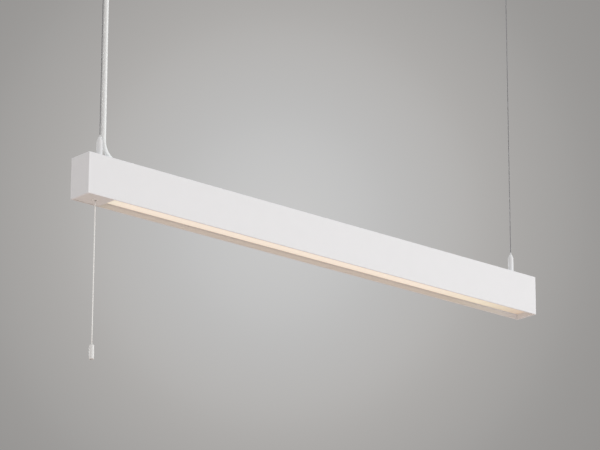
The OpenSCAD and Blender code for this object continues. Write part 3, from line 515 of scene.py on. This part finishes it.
FINISHES = {
    "housing_white": profile_coat_with_painted_shade("housing_white", WHITE, CHANNEL_PAINTED_SHADE),
    # The end caps a little lighter than the profile: a painted highlight for the bright band at
    # the lamp's ends
    "cap_white": powder_coat("cap_white", srgb(233, 233, 235)),
    "opal": glowing("opal", srgb(190, 184, 178), GLOW),
    "plate_white": powder_coat("plate_white", srgb(228, 226, 224)),
    "tray": powder_coat("tray", srgb(224, 225, 226)),
    "circuit_board": moulded("circuit_board", srgb(236, 238, 236), 0.3),
    "led": moulded("led", srgb(244, 224, 150), 0.25),
    "connector": moulded("connector", srgb(238, 236, 226)),
    "driver_case": powder_coat("driver_case", srgb(208, 210, 212)),
    "screw_steel": brushed("screw_steel", STEEL),
    "terminal": moulded("terminal", srgb(236, 236, 230)),
    "mains_core": jacket("mains_core", srgb(116, 72, 44)),
    "switch_core": jacket("switch_core", srgb(60, 60, 62)),
    "driver_core": jacket("driver_core", srgb(58, 92, 150)),
    "led_core": jacket("led_core", srgb(168, 40, 34)),
    "inlet_plastic": moulded("inlet_plastic", srgb(226, 226, 227)),
    "cord_jacket": jacket("cord_jacket", srgb(246, 248, 248), 0.32),
    "switch_plastic": moulded("switch_plastic", srgb(226, 226, 222)),
    "slider_plastic": moulded("slider_plastic", srgb(224, 220, 204)),
    "spring_steel": brushed("spring_steel", (0.50, 0.51, 0.53, 1), 0.25),
    "pin_steel": brushed("pin_steel", STEEL, 0.2, (1, 0.03, 1)),
    "contact_brass": brushed("contact_brass", BRASS),
    "pull_cord_white": braided("pull_cord_white", srgb(250, 249, 247), PULL_X / 1000, 0),
    "grip_white": moulded("grip_white", srgb(232, 232, 231), 0.3),
    "gripper_white": powder_coat("gripper_white", srgb(230, 230, 231), 0.35),
    "gripper_tip": powder_coat("gripper_tip", srgb(214, 214, 215), 0.3),
    "ball_steel": brushed("ball_steel", (0.66, 0.67, 0.68, 1), 0.12),
    "wire_steel": stranded("wire_steel", WIRE_GREY, -WIRE_X / 1000, 0),
    "stud_steel": threaded("stud_steel", STEEL, -WIRE_X / 1000, 0, THREAD_PITCH),
    "nipple_brass": brushed("nipple_brass", BRASS, 0.3),
    "ceiling_white": powder_coat("ceiling_white", WHITE),
    "bar_steel": brushed("bar_steel", STEEL),
    "bush_rubber": moulded("bush_rubber", srgb(226, 226, 226), 0.7),
}

# Nodes whose finish differs a little from their slot's: the right-hand stud's thread winds
# round its own axis, and the collar is painted lighter than the plate around it, painted light
# that offsets the shade in its bore
OWN_FINISHES = {
    "gripper_stud_right": threaded("stud_steel_right", STEEL, WIRE_X / 1000, 0, THREAD_PITCH),
    # painted light: a lighter white against the shade in the collar's bore
    "cord_collar": moulded("collar_white", srgb(250, 249, 247)),
}
RIGHT_WIRE = stranded("wire_steel_right", WIRE_GREY, WIRE_X / 1000, 0)


def dress(piece, material):
    piece.data.materials.clear()
    piece.data.materials.append(material)


for part in frame["record"]["subparts"]:
    dress(nodes[part["node"]], OWN_FINISHES.get(part["node"], FINISHES[part["material_slot"]]))
dress(mains, FINISHES["cord_jacket"])
dress(wires[0], FINISHES["wire_steel"])
dress(wires[1], RIGHT_WIRE)
dress(pull, FINISHES["pull_cord_white"])
for spring in springs:
    dress(spring, FINISHES["spring_steel"])

# ---------- floor, light and background ----------

FLOOR_Z = -2.75
FLOOR_HALF = 30.0                      # half its side
FLOOR_FADE = (5.0, 14.0)               # where the backdrop takes over, metres from the lamp
FLOOR_SEEN = srgb(206, 204, 201)
FLOOR_BOUNCE = srgb(225, 210, 202)     # the warmer tone of a room's floor, in its soft light


def make_floor():
    mesh = bpy.data.meshes.new("floor")
    sides = [(-1, -1), (1, -1), (1, 1), (-1, 1)]
    corners = [(x * FLOOR_HALF, y * FLOOR_HALF, FLOOR_Z) for x, y in sides]
    mesh.from_pydata(corners, [], [(0, 1, 2, 3)])
    floor = bpy.data.objects.new("floor", mesh)
    bpy.context.scene.collection.objects.link(floor)
    finish = Finish("floor_pale", FLOOR_SEEN, 0.7)
    tree, surface = finish.tree, finish.shader.outputs["BSDF"]
    seen = of_kind(tree, "Is Camera Ray")
    shown = finish.tint(finish.noise(0.8, 3), 0.015)
    feed(tree, finish.shader.inputs["Base Color"], mix_colours(tree, seen, FLOOR_BOUNCE, shown))
    # It shows from above only, and melts into the backdrop far off
    at = finish.axes()
    squares = [finish.math("MULTIPLY", at[axis], at[axis]) for axis in ("X", "Y")]
    away = finish.math("SQRT", finish.math("ADD", *squares))
    distant = finish.math("MULTIPLY", map_range(tree, away, *FLOOR_FADE, kind="SMOOTHSTEP"), seen)
    below = tree.nodes.new("ShaderNodeNewGeometry").outputs["Backfacing"]
    clear = tree.nodes.new("ShaderNodeBsdfTransparent").outputs["BSDF"]
    mixed = mix_shaders(tree, finish.math("MAXIMUM", below, distant), surface, clear)
    feed(tree, tree.nodes["Material Output"].inputs["Surface"], mixed)
    dress(floor, finish.material)


LAMP_MIDDLE = Vector((0, 0, -0.67))


def soft_light(name, place, size, watts, colour):
    """A round light that faces the lamp's middle."""
    data = bpy.data.lights.new(name, "AREA")
    data.shape = "DISK"
    data.size = size
    data.energy = watts
    data.color = colour
    light = bpy.data.objects.new(name, data)
    light.location = place
    light.rotation_mode = "QUATERNION"
    light.rotation_quaternion = (LAMP_MIDDLE - Vector(place)).to_track_quat("-Z", "Y")
    light.visible_camera = False
    bpy.context.scene.collection.objects.link(light)


# The background: greys by the angle in degrees from its brightest direction
SPOT_TURN = CAMERA_TURN - 0.40
SPOT_RISE = CAMERA_RISE + 0.03
SPOT = [(0, 201), (1.8, 191), (3.6, 175.5), (5.4, 158), (7.2, 147)]
SPOT_END = 9.0
WARMTH = 0.4                           # how far red and blue stand off the grey
DIM = 180                              # and under this grey
DIM_WARMTH = 1.8
SKY = 0.67                             # level of the soft light from all round
ABOVE = (0.955, 0.985, 1.0, 1)         # its tint from above
BELOW = srgb(239, 232, 226)            # and from below
SKY_BLEND = 0.6                        # height, of 1, at which each tint is whole


def spot_grey(grey):
    warmth = DIM_WARMTH if grey < DIM else WARMTH
    return srgb(grey + warmth, grey, grey - warmth)


def make_world():
    world = bpy.data.worlds.new("studio")
    bpy.context.scene.world = world
    world.use_nodes = True
    tree = world.node_tree
    tree.nodes.clear()

    def background(colour, strength):
        node = tree.nodes.new("ShaderNodeBackground")
        feed(tree, node.inputs["Color"], colour)
        feed(tree, node.inputs["Strength"], strength)
        return node.outputs["Background"]

    direction = tree.nodes.new("ShaderNodeTexCoord").outputs["Generated"]
    # Backdrop: a pool of light behind the lamp
    dot = tree.nodes.new("ShaderNodeVectorMath")
    dot.operation = "DOT_PRODUCT"
    feed(tree, dot.inputs[0], direction)
    feed(tree, dot.inputs[1], heading(SPOT_TURN, SPOT_RISE))
    angle = math_node(tree, "ARCCOSINE", dot.outputs["Value"])
    share = math_node(tree, "DIVIDE", angle, math.radians(SPOT_END))
    stops = [(degrees / SPOT_END, spot_grey(grey)) for degrees, grey in SPOT]
    backdrop = background(colour_ramp(tree, share, stops, "CARDINAL"), 1.0)
    # Soft light: near white from above, a little warm and weaker from below
    height = tree.nodes.new("ShaderNodeSeparateXYZ")
    feed(tree, height.inputs["Vector"], direction)
    up = map_range(tree, height.outputs["Z"], -SKY_BLEND, SKY_BLEND)
    ambient = background(mix_colours(tree, up, BELOW, ABOVE), SKY)
    seen = of_kind(tree, "Is Camera Ray", "Is Glossy Ray", "Is Transmission Ray")
    output = tree.nodes.new("ShaderNodeOutputWorld")
    feed(tree, output.inputs["Surface"], mix_shaders(tree, seen, ambient, backdrop))


COOL = (0.97, 1, 1.01)
# Each light's place, diameter, watts and colour
LIGHTS = {
    "key": ((3.2, -4.7, 0.5), 2.8, 124, COOL),
    "top": ((0.4, -0.9, 3.0), 2.4, 16, (1, 1, 1)),
    "fill": ((-4.2, -1.4, -0.6), 2.4, 18, (1, 1, 1)),
    "back": ((1.4, 5.2, 0.3), 2.8, 62, COOL),
}
make_floor()
make_world()
for light, facts in LIGHTS.items():
    soft_light(light, *facts)

bpy.context.scene.view_settings.view_transform = "Standard"
